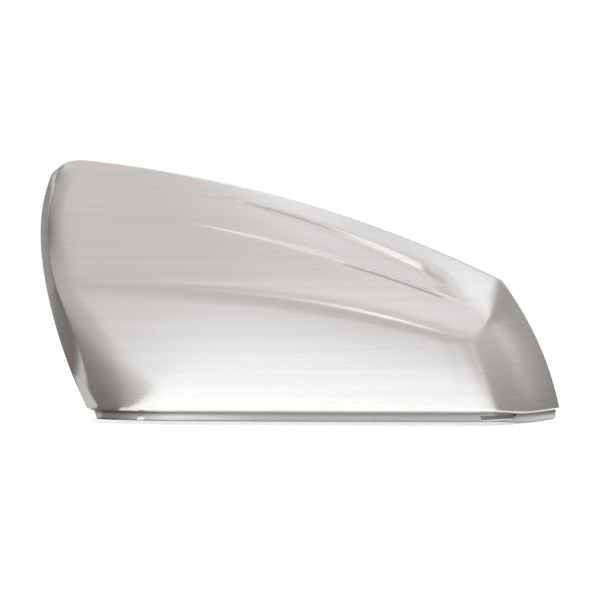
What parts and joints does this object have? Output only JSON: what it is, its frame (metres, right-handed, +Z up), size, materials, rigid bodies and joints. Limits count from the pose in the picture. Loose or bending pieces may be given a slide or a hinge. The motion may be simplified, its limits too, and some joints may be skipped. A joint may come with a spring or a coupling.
{
  "type": "wing mirror cover",
  "caption": "Clip-on outer cover for a car's wing mirror: a thin tapering shell with a belt crease, a long flute, an inset lip, pins and hooks.",
  "frame": {"origin": "under the middle of the cover, level with the bottom of its lip", "axes": "+X along the cover from its tall end to its tapered end, +Y from the front face back to the open rim, +Z up"},
  "size_m": [0.247, 0.074, 0.1231],
  "materials": {
    "satin_plating": "satin plated moulding with a fine brushed grain along its length"
  },
  "bodies": {
    "root": {"mirror_cover": "satin_plating"}
  },
  "joints": []
}
